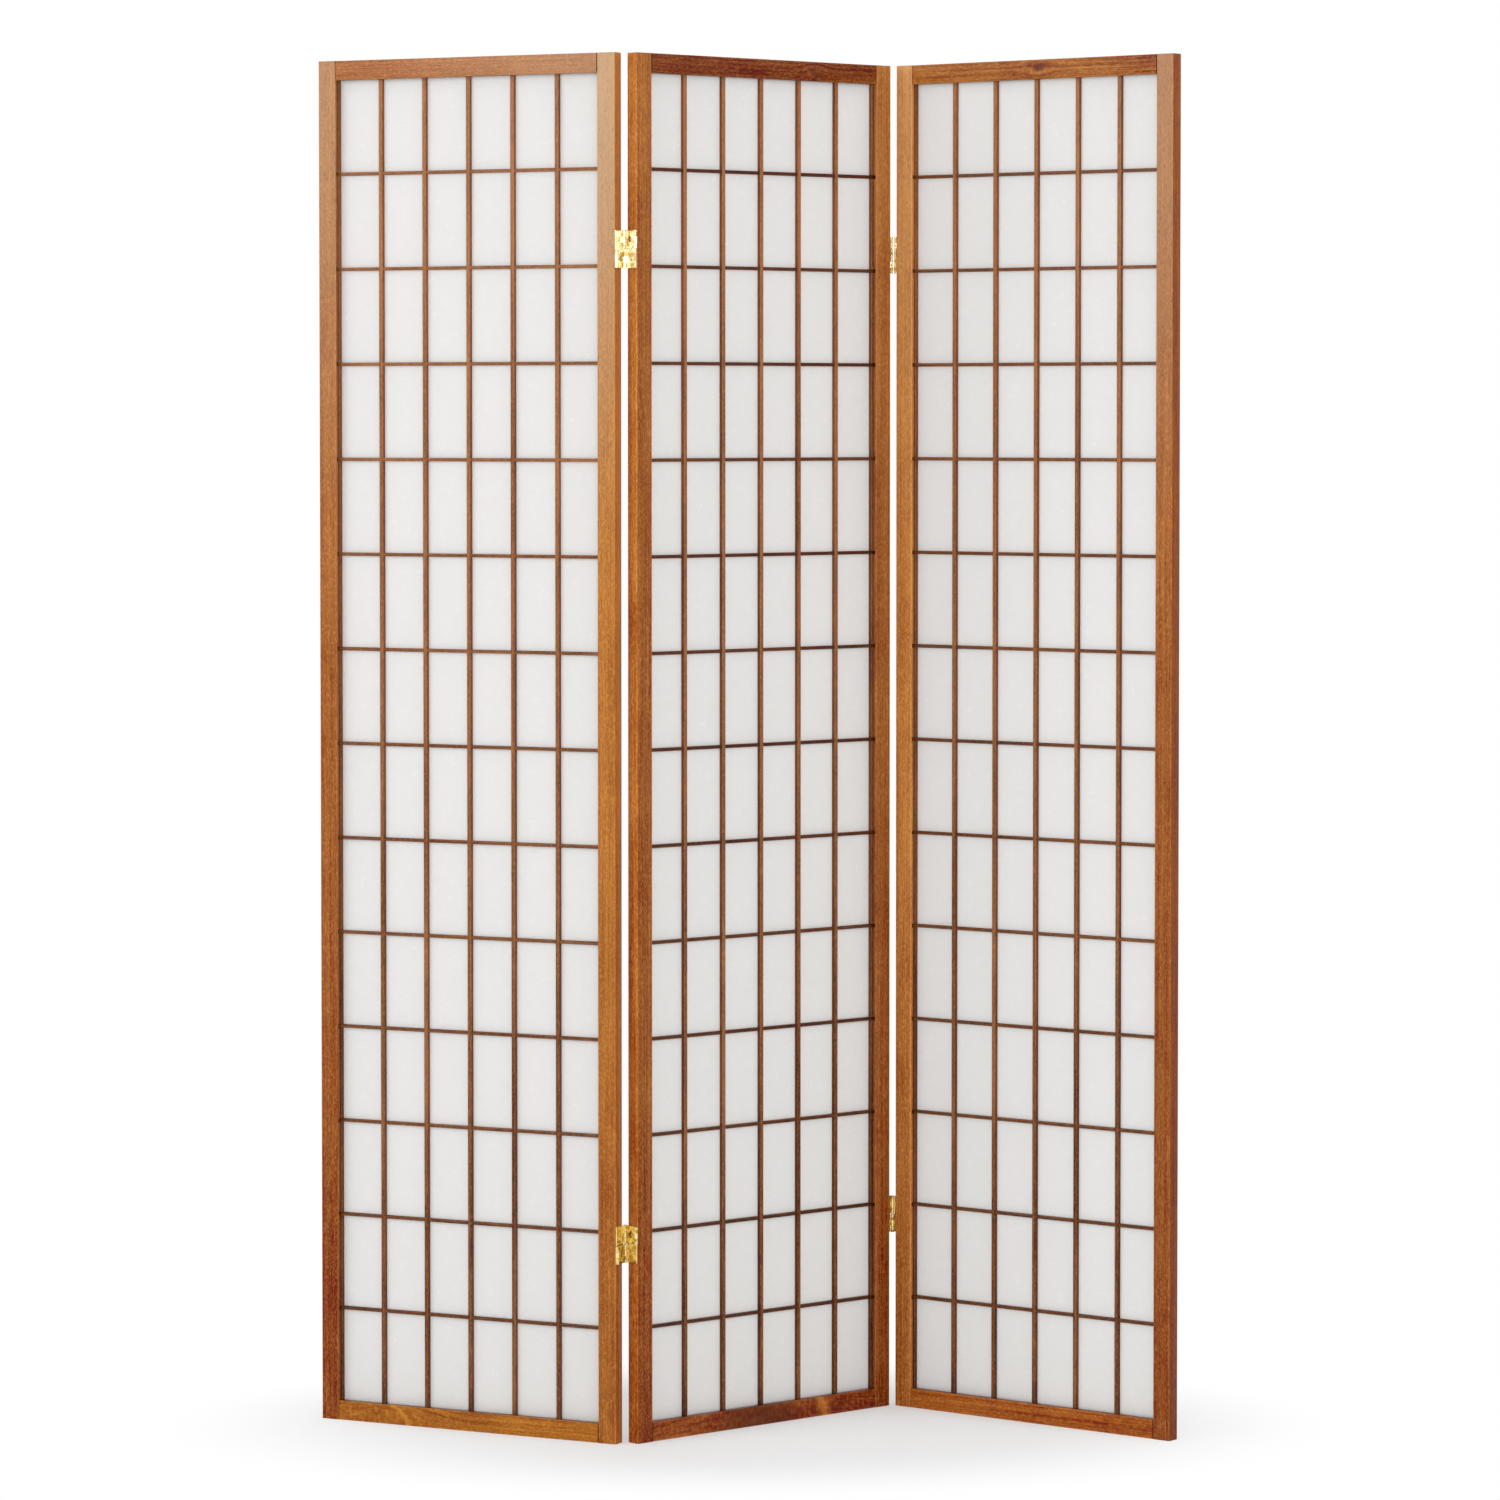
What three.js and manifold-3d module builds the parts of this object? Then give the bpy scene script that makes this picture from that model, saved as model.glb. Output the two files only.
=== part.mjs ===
// Three-panel folding shoji screen, standing in a zigzag.
// Millimetres, +Z up. The front of the screen looks towards -Y.
// Each panel has its own frame: x runs from its left edge to its right edge,
// y from its front face (0) to its back face, z from the floor up.

import * as THREE from 'three';
import { mergeVertices } from 'three/addons/utils/BufferGeometryUtils.js';
import Module from 'manifold-3d';

const wasm = await Module();
wasm.setup();

// ---------------------------------------------------------------- sizes

// frame of a panel
const panelWidth = 438;
const panelHeight = 1790;
const frameThickness = 19;
const stileWidth = 25.4;
const railHeight = 25.4;
const arrisRadius = 1.3;
const fitGap = 0.3;

// stub tenons that join the rails to the stiles
const tenonLength = 15;
const tenonHeight = 12;
const tenonThickness = 6;
const tenonFromEnd = 4.5;

// rabbet in the stiles and groove in the rails, which hold lattice and paper
const rabbetWidth = 5;
const rabbetLip = 5.5;
const grooveDepth = 4.5;

// small pockets in the stiles' lips, one at each end of every cross bar
const pocketFront = 2.2;
const pocketHeight = 5.2;

// lattice
const uprightCount = 5;
const crossBarCount = 13;
const uprightWidth = 6;
const crossBarHeight = 4.5;
const latticeDepth = 5;
const latticeRecess = 8.6;
const edgeStripReveal = 1;

// paper and its retaining beads
const paperThickness = 0.4;
const paperInset = 0.6;
const beadChamfer = 1.2;

// two-way hinges
const foldGap = 7;
const pinProud = 1.5;
const hingeHeight = 48;
const hingeHalfGap = 1.6;
const hingeBelowTop = 251;
const hingeAboveFloor = 258;
const leafThickness = 1.2;
const leafInset = 0.5;
const webThickness = 1.2;
const knuckleRadius = 2.6;
const knuckleGap = 0.35;
const pinRadius = 1.2;
const pinHeadRadius = 2;
const pinHeadHeight = 0.4;
const pinHeadGap = 0.1;
const boreRadius = 1.5;
const screwHoleRadius = 2.2;
const screwAccessRadius = 3.9;
const pilotRadius = 1.2;
const pilotDepth = 12;
const knuckleSides = 12;
const holeSides = 8;
const arcSides = 3;

// how the panels stand, as turns from the line of the room's width
const leftPanelTurn = -26.2;
const middlePanelTurn = 40.7;
const rightPanelTurn = -37.4;

// ------------------------------------------------- sizes worked out from these

const openingHeight = panelHeight - 2 * railHeight;
const rabbetFoot = railHeight - grooveDepth;
const latticeBack = latticeRecess + latticeDepth;
const paperFront = latticeBack + fitGap;
const paperBack = paperFront + paperThickness;
const grooveFront = latticeRecess - fitGap;
const grooveBack = paperBack + fitGap;
const latticeEdge = stileWidth - rabbetWidth + fitGap;
const latticeFoot = rabbetFoot + fitGap;
const tenonFront = (frameThickness - tenonThickness) / 2;
const hingeHalfHeight = (hingeHeight - hingeHalfGap) / 2;
const knuckleHeight = (hingeHalfHeight - 2 * knuckleGap) / 3;
const hingeHeights = {
  top: panelHeight - hingeBelowTop,
  bottom: hingeAboveFloor,
};
const pinDepth = {
  front: -pinProud,
  back: frameThickness + pinProud,
};
const pastFace = 1;

// ------------------------------------------------------------- materials

function finish(colour, roughness, metalness) {
  return () => new THREE.MeshStandardMaterial({ color: colour, roughness, metalness });
}

const stainedFrame = finish(0xa8693a, 0.45, 0);
const stainedLattice = finish(0x955c35, 0.5, 0);
const fibrePaper = finish(0xe9e7e3, 0.9, 0);
const polishedBrass = finish(0xd9b44a, 0.25, 1);
const pinBrass = finish(0xc9a23c, 0.3, 1);

// ------------------------------------------------------- solids and meshes

function solidOf(geometry) {
  const bare = geometry.clone();
  bare.deleteAttribute('normal');
  bare.deleteAttribute('uv');
  const welded = mergeVertices(bare);
  return new wasm.Manifold(new wasm.Mesh({
    numProp: 3,
    vertProperties: new Float32Array(welded.attributes.position.array),
    triVerts: new Uint32Array(welded.index.array),
  }));
}

function geometryOf(solid) {
  const mesh = solid.getMesh();
  const geometry = new THREE.BufferGeometry();
  geometry.setAttribute('position', new THREE.BufferAttribute(mesh.vertProperties, 3));
  geometry.setIndex(new THREE.BufferAttribute(mesh.triVerts, 1));
  geometry.computeVertexNormals();
  return geometry;
}

function blockGeometry([x0, x1], [y0, y1], [z0, z1]) {
  const geometry = new THREE.BoxGeometry(x1 - x0, y1 - y0, z1 - z0);
  return geometry.translate((x0 + x1) / 2, (y0 + y1) / 2, (z0 + z1) / 2);
}

function block(xRange, yRange, zRange) {
  return solidOf(blockGeometry(xRange, yRange, zRange));
}

function uprightCylinder(x, y, [z0, z1], radius, sides) {
  const geometry = new THREE.CylinderGeometry(radius, radius, z1 - z0, sides);
  geometry.rotateX(Math.PI / 2);
  return solidOf(geometry.translate(x, y, (z0 + z1) / 2));
}

function crossHole([x0, x1], y, z, radius) {
  const geometry = new THREE.CylinderGeometry(radius, radius, x1 - x0, holeSides);
  geometry.rotateZ(Math.PI / 2);
  return solidOf(geometry.translate((x0 + x1) / 2, y, z));
}

function roundedRectangle([a0, a1], [b0, b1], radius) {
  const quarter = Math.PI / 2;
  const shape = new THREE.Shape();
  shape.absarc(a1 - radius, b0 + radius, radius, -quarter, 0);
  shape.absarc(a1 - radius, b1 - radius, radius, 0, quarter);
  shape.absarc(a0 + radius, b1 - radius, radius, quarter, 2 * quarter);
  shape.absarc(a0 + radius, b0 + radius, radius, 2 * quarter, 3 * quarter);
  return shape;
}

function extrudeUp(shape, [z0, z1]) {
  const options = { depth: z1 - z0, bevelEnabled: false, curveSegments: arcSides };
  return new THREE.ExtrudeGeometry(shape, options).translate(0, 0, z0);
}

function extrudeAcross(shape, [x0, x1]) {
  const geometry = extrudeUp(shape, [x0, x1]);
  const turn = new THREE.Matrix4().makeBasis(
    new THREE.Vector3(0, 1, 0),
    new THREE.Vector3(0, 0, 1),
    new THREE.Vector3(1, 0, 0),
  );
  return geometry.applyMatrix4(turn);
}

function meshOf(name, geometry, makeFinish) {
  const mesh = new THREE.Mesh(geometry, makeFinish());
  mesh.name = name;
  return mesh;
}

// A range of x measured inwards from the left or right edge of a panel.
function inFrom(side, near, far) {
  return side === 'left' ? [near, far] : [panelWidth - far, panelWidth - near];
}

// A range of x measured outwards from the left or right edge of a panel.
function outFrom(side, near, far) {
  return side === 'left' ? [-far, -near] : [panelWidth + near, panelWidth + far];
}

// A range of z measured from the bottom or top of a panel.
function upFrom(end, near, far) {
  return end === 'bottom' ? [near, far] : [panelHeight - far, panelHeight - near];
}

// ------------------------------------------------------------------ frame

function stileGeometry(side, hinged) {
  const outline = roundedRectangle(
    inFrom(side, 0, stileWidth), [0, frameThickness], arrisRadius);
  let stile = solidOf(extrudeUp(outline, [0, panelHeight]));

  stile = stile.subtract(block(
    inFrom(side, stileWidth - rabbetWidth, stileWidth + pastFace),
    [rabbetLip, frameThickness + pastFace],
    [rabbetFoot, panelHeight - rabbetFoot],
  ));

  for (const z of crossBarMiddles()) {
    stile = stile.subtract(block(
      inFrom(side, stileWidth - rabbetWidth, stileWidth + pastFace),
      [pocketFront, rabbetLip + pastFace],
      [z - pocketHeight / 2, z + pocketHeight / 2],
    ));
  }

  for (const end of ['bottom', 'top']) {
    stile = stile.subtract(block(
      inFrom(side, stileWidth - tenonLength - fitGap, stileWidth + pastFace),
      [tenonFront - fitGap, tenonFront + tenonThickness + fitGap],
      upFrom(end, tenonFromEnd - fitGap, tenonFromEnd + tenonHeight + fitGap),
    ));
  }

  if (hinged) {
    for (const height of Object.values(hingeHeights)) {
      for (const half of ['upper', 'lower']) {
        stile = stile.subtract(crossHole(
          inFrom(side, -pastFace, pilotDepth),
          frameThickness / 2,
          halfMiddle(height, half),
          pilotRadius,
        ));
      }
    }
  }
  return geometryOf(stile);
}

function railGeometry(end) {
  const outline = roundedRectangle(
    [0, frameThickness], upFrom(end, 0, railHeight), arrisRadius);
  const shoulder = stileWidth + fitGap;
  let rail = solidOf(extrudeAcross(outline, [shoulder, panelWidth - shoulder]));

  rail = rail.subtract(block(
    [0, panelWidth],
    [grooveFront, grooveBack],
    upFrom(end, rabbetFoot, railHeight + pastFace),
  ));

  for (const side of ['left', 'right']) {
    rail = rail.add(block(
      inFrom(side, stileWidth - tenonLength, shoulder + pastFace),
      [tenonFront, tenonFront + tenonThickness],
      upFrom(end, tenonFromEnd, tenonFromEnd + tenonHeight),
    ));
  }
  return geometryOf(rail);
}

// ---------------------------------------------------------------- lattice

// Equal panes: the clear width and height left by the bars is shared out.
function uprightMiddles() {
  const first = stileWidth + edgeStripReveal;
  const clear = panelWidth - 2 * first - uprightCount * uprightWidth;
  const pane = clear / (uprightCount + 1);
  const middles = [];
  for (let i = 0; i < uprightCount; i += 1) {
    middles.push(first + (i + 1) * pane + (i + 0.5) * uprightWidth);
  }
  return middles;
}

function crossBarMiddles() {
  const clear = openingHeight - crossBarCount * crossBarHeight;
  const pane = clear / (crossBarCount + 1);
  const middles = [];
  for (let i = 0; i < crossBarCount; i += 1) {
    middles.push(railHeight + (i + 1) * pane + (i + 0.5) * crossBarHeight);
  }
  return middles;
}

function latticeGeometry() {
  const depth = [latticeRecess, latticeBack];
  const fullHeight = [latticeFoot, panelHeight - latticeFoot];
  const fullWidth = [latticeEdge, panelWidth - latticeEdge];

  let lattice = block(
    inFrom('left', latticeEdge, stileWidth + edgeStripReveal), depth, fullHeight);
  lattice = lattice.add(block(
    inFrom('right', latticeEdge, stileWidth + edgeStripReveal), depth, fullHeight));
  for (const x of uprightMiddles()) {
    lattice = lattice.add(block(
      [x - uprightWidth / 2, x + uprightWidth / 2], depth, fullHeight));
  }
  for (const z of crossBarMiddles()) {
    lattice = lattice.add(block(
      fullWidth, depth, [z - crossBarHeight / 2, z + crossBarHeight / 2]));
  }
  return geometryOf(lattice);
}

function paperGeometry() {
  return blockGeometry(
    [latticeEdge + paperInset, panelWidth - latticeEdge - paperInset],
    [paperFront, paperBack],
    [latticeFoot + paperInset, panelHeight - latticeFoot - paperInset],
  );
}

function beadGeometry(side) {
  const [x0, x1] = inFrom(side, latticeEdge, stileWidth - fitGap);
  const inner = side === 'left' ? x1 : x0;
  const outer = side === 'left' ? x0 : x1;
  const chamferedX = inner + Math.sign(outer - inner) * beadChamfer;
  const shape = new THREE.Shape([
    new THREE.Vector2(outer, grooveBack),
    new THREE.Vector2(inner, grooveBack),
    new THREE.Vector2(inner, frameThickness - beadChamfer),
    new THREE.Vector2(chamferedX, frameThickness),
    new THREE.Vector2(outer, frameThickness),
  ]);
  return extrudeUp(shape, [latticeFoot, panelHeight - latticeFoot]);
}

// ----------------------------------------------------------------- hinges

// A hinge has an upper and a lower half. Each half has a web between two pins,
// and each web carries two knuckles on each pin, with a leaf's knuckle between.

function halfRange(height, half) {
  const inner = hingeHalfGap / 2;
  const outer = hingeHeight / 2;
  return half === 'upper' ? [height + inner, height + outer] : [height - outer, height - inner];
}

function halfMiddle(height, half) {
  const [z0, z1] = halfRange(height, half);
  return (z0 + z1) / 2;
}

function middleKnuckleRange(height, half) {
  const z = halfMiddle(height, half);
  return [z - knuckleHeight / 2, z + knuckleHeight / 2];
}

function pinX(side) {
  return outFrom(side, foldGap / 2, foldGap / 2)[0];
}

function leafGeometry(side, height, pinOfHalf) {
  let leaf = block(
    outFrom(side, fitGap, fitGap + leafThickness),
    [leafInset, frameThickness - leafInset],
    [height - hingeHeight / 2, height + hingeHeight / 2],
  );
  const nearKnuckle = foldGap / 2 - knuckleRadius;
  for (const [half, pin] of Object.entries(pinOfHalf)) {
    const knuckle = middleKnuckleRange(height, half);
    const axis = pinDepth[pin];
    const plateEnd = pin === 'front' ? 2 * leafInset : frameThickness - 2 * leafInset;
    leaf = leaf.add(uprightCylinder(pinX(side), axis, knuckle, knuckleRadius, knuckleSides));
    leaf = leaf.add(block(
      outFrom(side, nearKnuckle, nearKnuckle + leafThickness),
      [Math.min(axis, plateEnd), Math.max(axis, plateEnd)],
      knuckle,
    ));
    leaf = leaf.subtract(uprightCylinder(
      pinX(side), axis, [knuckle[0] - pastFace, knuckle[1] + pastFace], boreRadius, holeSides));
    leaf = leaf.subtract(crossHole(
      outFrom(side, -pastFace, nearKnuckle + leafThickness + pastFace),
      frameThickness / 2,
      halfMiddle(height, half),
      screwHoleRadius,
    ));
  }
  return geometryOf(leaf);
}

function webGeometry(side, height, half) {
  const range = halfRange(height, half);
  const knuckle = middleKnuckleRange(height, half);
  const across = outFrom(side, (foldGap - webThickness) / 2, (foldGap + webThickness) / 2);
  const clearHeight = [knuckle[0] - knuckleGap, knuckle[1] + knuckleGap];
  const clearRadius = knuckleRadius + knuckleGap;

  let web = block(across, [pinDepth.front, pinDepth.back], range);
  for (const axis of Object.values(pinDepth)) {
    web = web.add(uprightCylinder(pinX(side), axis, range, knuckleRadius, knuckleSides));
    web = web.subtract(block(
      outFrom(side, foldGap / 2 - clearRadius, foldGap / 2 + clearRadius),
      [axis - clearRadius, axis + clearRadius],
      clearHeight,
    ));
    web = web.subtract(uprightCylinder(
      pinX(side), axis, [range[0] - pastFace, range[1] + pastFace], boreRadius, holeSides));
  }
  web = web.subtract(crossHole(
    outFrom(side, 0, foldGap), frameThickness / 2, halfMiddle(height, half), screwAccessRadius));
  return geometryOf(web);
}

function pinGeometry(side, height, half, pin) {
  const [z0, z1] = halfRange(height, half);
  const profile = [
    [0, z0 - pinHeadGap - pinHeadHeight],
    [pinHeadRadius, z0 - pinHeadGap - pinHeadHeight],
    [pinHeadRadius, z0 - pinHeadGap],
    [pinRadius, z0 - pinHeadGap],
    [pinRadius, z1 + pinHeadGap],
    [pinHeadRadius, z1 + pinHeadGap],
    [pinHeadRadius, z1 + pinHeadGap + pinHeadHeight],
    [0, z1 + pinHeadGap + pinHeadHeight],
  ].map(([radius, z]) => new THREE.Vector2(radius, z));
  const geometry = new THREE.LatheGeometry(profile, holeSides);
  geometry.rotateX(Math.PI / 2);
  return geometryOf(solidOf(geometry.translate(pinX(side), pinDepth[pin], 0)));
}

// The leaf on one stile, and the web and pins that lie on it as the screen stands.
function addHingeSide(panel, prefix, panelName, side, height, pinOfHalf, webHalf) {
  panel.add(meshOf(
    `${prefix}_${panelName}_leaf`, leafGeometry(side, height, pinOfHalf), polishedBrass));
  panel.add(meshOf(
    `${prefix}_${webHalf}_web`, webGeometry(side, height, webHalf), polishedBrass));
  for (const pin of ['front', 'back']) {
    panel.add(meshOf(
      `${prefix}_${webHalf}_${pin}_pin`, pinGeometry(side, height, webHalf, pin), pinBrass));
  }
}

function addFoldHinges(fold, innerPanel, innerSide, outerPanel, outerName, innerPins, outerPins) {
  const outerSide = innerSide === 'left' ? 'right' : 'left';
  for (const [level, height] of Object.entries(hingeHeights)) {
    const prefix = `${fold}_fold_${level}_hinge`;
    addHingeSide(innerPanel, prefix, 'middle', innerSide, height, innerPins, 'upper');
    addHingeSide(outerPanel, prefix, outerName, outerSide, height, outerPins, 'lower');
  }
}

// ----------------------------------------------------------------- panels

function makePanel(name, hingedSides) {
  const panel = new THREE.Group();
  for (const side of ['left', 'right']) {
    panel.add(meshOf(
      `${name}_panel_${side}_stile`,
      stileGeometry(side, hingedSides.includes(side)),
      stainedFrame,
    ));
    panel.add(meshOf(`${name}_panel_${side}_bead`, beadGeometry(side), stainedFrame));
  }
  for (const end of ['top', 'bottom']) {
    panel.add(meshOf(`${name}_panel_${end}_rail`, railGeometry(end), stainedFrame));
  }
  panel.add(meshOf(`${name}_panel_lattice`, latticeGeometry(), stainedLattice));
  panel.add(meshOf(`${name}_panel_paper`, paperGeometry(), fibrePaper));
  return panel;
}

const leftPanel = makePanel('left', ['right']);
const middlePanel = makePanel('middle', ['left', 'right']);
const rightPanel = makePanel('right', ['left']);

const frontAbove = { upper: 'front', lower: 'back' };
const backAbove = { upper: 'back', lower: 'front' };
addFoldHinges('left', middlePanel, 'left', leftPanel, 'left', frontAbove, backAbove);
addFoldHinges('right', middlePanel, 'right', rightPanel, 'right', backAbove, frontAbove);

// The left panel turns about the pins behind the frames, the right panel about
// those in front of them, so the screen stands in a zigzag.
const leftFold = new THREE.Group();
leftFold.position.set(pinX('left'), pinDepth.back, 0);
leftFold.rotation.z = THREE.MathUtils.degToRad(leftPanelTurn - middlePanelTurn);
leftPanel.position.set(-pinX('right'), -pinDepth.back, 0);
leftFold.add(leftPanel);

const rightFold = new THREE.Group();
rightFold.position.set(pinX('right'), pinDepth.front, 0);
rightFold.rotation.z = THREE.MathUtils.degToRad(rightPanelTurn - middlePanelTurn);
rightPanel.position.set(-pinX('left'), -pinDepth.front, 0);
rightFold.add(rightPanel);

middlePanel.add(leftFold, rightFold);
middlePanel.rotation.z = THREE.MathUtils.degToRad(middlePanelTurn);

// The origin is on the floor, under the middle of the screen's outline.
const screen = new THREE.Group();
screen.add(middlePanel);
screen.updateMatrixWorld(true);
const outline = new THREE.Box3().setFromObject(screen, true);
const centre = outline.getCenter(new THREE.Vector3());
middlePanel.position.set(-centre.x, -centre.y, 0);

export default screen;
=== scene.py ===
import math

import bmesh
import bpy
from mathutils import Matrix, Vector


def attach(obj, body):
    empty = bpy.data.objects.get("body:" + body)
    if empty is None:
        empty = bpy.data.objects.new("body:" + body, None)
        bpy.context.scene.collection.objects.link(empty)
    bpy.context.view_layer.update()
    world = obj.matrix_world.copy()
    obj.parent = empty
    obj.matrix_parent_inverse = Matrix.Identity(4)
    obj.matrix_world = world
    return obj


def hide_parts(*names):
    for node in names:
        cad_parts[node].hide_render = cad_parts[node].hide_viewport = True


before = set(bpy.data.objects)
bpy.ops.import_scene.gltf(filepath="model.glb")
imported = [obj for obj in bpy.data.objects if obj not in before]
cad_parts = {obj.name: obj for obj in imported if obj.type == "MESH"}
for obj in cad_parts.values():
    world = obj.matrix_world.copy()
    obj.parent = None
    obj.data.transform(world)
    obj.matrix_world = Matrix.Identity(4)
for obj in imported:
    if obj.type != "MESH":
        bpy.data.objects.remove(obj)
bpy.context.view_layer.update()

mm = 0.001
panel_width = 438 * mm
panel_height = 1790 * mm
frame_depth = 19 * mm

# Each outer panel turns about the pins of its fold, where the middle panel holds it.
panel_places = {
    "left": dict(turn=-26.2, pins=(441.5, 20.5), stands_at=(-154.793143, -135.613170)),
    "middle": dict(turn=40.7, pins=(0, 0), stands_at=(-138.771700, -148.872600)),
    "right": dict(turn=-37.4, pins=(-3.5, -1.5), stands_at=(196.922802, 137.891665)),
}
panels = {}
for side, standing in panel_places.items():
    turned = Matrix.Rotation(math.radians(standing["turn"]), 4, "Z")
    stands_at = Vector((*standing["stands_at"], 0)) * mm
    pins = Vector((*standing["pins"], 0)) * mm
    panels[side] = Matrix.Translation(stands_at) @ turned @ Matrix.Translation(-pins)

# ---------------------------------------------------------------------------
# Viewpoint
# Chest height, seven metres in front, as a long lens sees a tall object
# without its uprights leaning.
# ---------------------------------------------------------------------------
tilted_down = 2.234


def add_object(name, data):
    added = bpy.data.objects.new(name, data)
    bpy.context.scene.collection.objects.link(added)
    return added


lens_view = bpy.data.cameras.new("viewpoint")
lens_view.sensor_width = 36
lens_view.lens = 135.39
lens_view.shift_y = -0.076
viewpoint = add_object("viewpoint", lens_view)
viewpoint.location = (0.006167, -7.380870, 1.325516)
viewpoint.rotation_euler = (math.radians(90 - tilted_down), 0, 0)
bpy.context.scene.camera = viewpoint
bpy.context.scene.view_settings.view_transform = "Standard"

# ---------------------------------------------------------------------------
# Studio floor, white surroundings and lamps
# A pale floor that keeps the screen's shadow close to its feet and runs out
# to white, under three large soft lamps: the strongest stands on the left.
# ---------------------------------------------------------------------------
white = (1, 1, 1, 1)


def add_node(tree, kind, inputs=None, **settings):
    """A shader or geometry node with its settings, and its inputs as values or links."""
    node = tree.nodes.new(kind)
    for name, value in settings.items():
        setattr(node, name, value)
    for name, value in (inputs or {}).items():
        if isinstance(value, bpy.types.NodeSocket):
            tree.links.new(value, node.inputs[name])
        else:
            node.inputs[name].default_value = value
    return node


def calc(tree, operation, *values):
    """The output of a Math node."""
    return add_node(tree, "ShaderNodeMath", dict(enumerate(values)),
                    operation=operation).outputs[0]


def vector_calc(tree, operation, *values):
    """The vector output of a Vector Math node."""
    return add_node(tree, "ShaderNodeVectorMath", dict(enumerate(values)),
                    operation=operation).outputs[0]


def ramp(tree, value, low, high, to_low=0.0, to_high=1.0):
    """A value carried smoothly from one range into another."""
    node = add_node(tree, "ShaderNodeMapRange", {
        "Value": value, "From Min": low, "From Max": high,
        "To Min": to_low, "To Max": to_high}, interpolation_type="SMOOTHSTEP")
    return node.outputs["Result"]


def seen_directly(tree):
    """1 where the background itself is seen, also in polished metal."""
    rays = add_node(tree, "ShaderNodeLightPath")
    shiny = calc(tree, "MAXIMUM", rays.outputs["Is Glossy Ray"],
                 rays.outputs["Is Transmission Ray"])
    return calc(tree, "MAXIMUM", rays.outputs["Is Camera Ray"], shiny)


surroundings = bpy.data.worlds.new("white surroundings")
surroundings.use_nodes = True
bpy.context.scene.world = surroundings
world_tree = surroundings.node_tree
world_tree.nodes.clear()
room_light = 0.67
room_strength = calc(world_tree, "MULTIPLY_ADD", seen_directly(world_tree),
                     1 - room_light, room_light)
room_glow = add_node(world_tree, "ShaderNodeBackground",
                     {"Color": white, "Strength": room_strength})
add_node(world_tree, "ShaderNodeOutputWorld", {"Surface": room_glow.outputs[0]})


def new_material(name):
    material = bpy.data.materials.new(name)
    material.use_nodes = True
    material.node_tree.nodes.clear()
    return material, material.node_tree


floor_reach = 6.0
floor_mesh = bpy.data.meshes.new("studio_floor")
floor_mesh.from_pydata(
    [(x * floor_reach, y * floor_reach, 0) for x, y in ((-1, -1), (1, -1), (1, 1), (-1, 1))],
    [], [(0, 1, 2, 3)])
add_object("studio_floor", floor_mesh)

floor_paint, tree = new_material("pale studio floor")
floor_spot = add_node(tree, "ShaderNodeTexCoord").outputs["Object"]
oval = vector_calc(tree, "MULTIPLY", floor_spot, (1.0, 1.5, 1.0))
away = add_node(tree, "ShaderNodeVectorMath", {0: oval}, operation="LENGTH").outputs["Value"]
runs_out = ramp(tree, away, 0.35, 0.80, 0.30, 1.0)
painted = add_node(tree, "ShaderNodeBsdfPrincipled", {
    "Base Color": (0.920, 0.930, 0.940, 1), "Roughness": 0.9, "Specular IOR Level": 0.1})
glow = add_node(tree, "ShaderNodeEmission", {"Color": white, "Strength": 1.0})
floor_mix = add_node(tree, "ShaderNodeMixShader", {
    0: calc(tree, "MULTIPLY", runs_out, seen_directly(tree)),
    1: painted.outputs[0], 2: glow.outputs[0]})
add_node(tree, "ShaderNodeOutputMaterial", {"Surface": floor_mix.outputs[0]})
floor_mesh.materials.append(floor_paint)


def soft_lamp(name, place, aimed_at, width, height, watts):
    light = bpy.data.lights.new(name, "AREA")
    light.shape = "RECTANGLE"
    light.size = width
    light.size_y = height
    light.energy = watts
    lamp = add_object(name, light)
    lamp.location = place
    aim = Vector(aimed_at) - Vector(place)
    lamp.rotation_euler = aim.to_track_quat("-Z", "Y").to_euler()


soft_lamp("lamp_left", (-3.3, -1.9, 2.45), (0, 0, 1.4), 2.4, 1.0, 34)
soft_lamp("lamp_right", (3.0, -2.2, 2.4), (0, 0, 1.0), 1.6, 1.4, 17)
soft_lamp("lamp_front", (0.2, -4.5, 1.7), (0, 0, 0.6), 2.0, 1.5, 38)

# ---------------------------------------------------------------------------
# Stiles and rails
# Straight-grained softwood, planed, its arrises eased, stained red-brown and
# rubbed with satin oil. The rails are tenoned between the stiles.
# ---------------------------------------------------------------------------
stile_width = 25.4 * mm
rail_height = 25.4 * mm


def new_group(name, inputs, outputs):
    """A shader node group with its named sockets, and its two ends."""
    group = bpy.data.node_groups.new(name, "ShaderNodeTree")
    kinds = {"colour": "NodeSocketColor", "value": "NodeSocketFloat",
             "vector": "NodeSocketVector"}
    for socket, kind in inputs:
        group.interface.new_socket(socket, in_out="INPUT", socket_type=kinds[kind])
    for socket, kind in outputs:
        group.interface.new_socket(socket, in_out="OUTPUT", socket_type=kinds[kind])
    start = group.nodes.new("NodeGroupInput").outputs
    end = group.nodes.new("NodeGroupOutput").inputs
    return group, start, end


def noise(tree, place, stretch, detail=2.0, roughness=0.5, distortion=0.0):
    """Noise over a place that is stretched by a different amount each way."""
    return add_node(tree, "ShaderNodeTexNoise", {
        "Vector": vector_calc(tree, "MULTIPLY", place, stretch), "Scale": 1.0,
        "Detail": detail, "Roughness": roughness, "Distortion": distortion}).outputs[0]


def about_zero(tree, cloudy):
    """Noise with its middle value brought to 0."""
    return calc(tree, "SUBTRACT", cloudy, 0.5)


def seeded_place(tree, place, step, seed):
    """A place moved by a number of steps, so that no two pieces have the same figure."""
    moved = add_node(tree, "ShaderNodeVectorMath", {0: step, 3: seed}, operation="SCALE")
    return vector_calc(tree, "ADD", place, moved.outputs[0])


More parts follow.
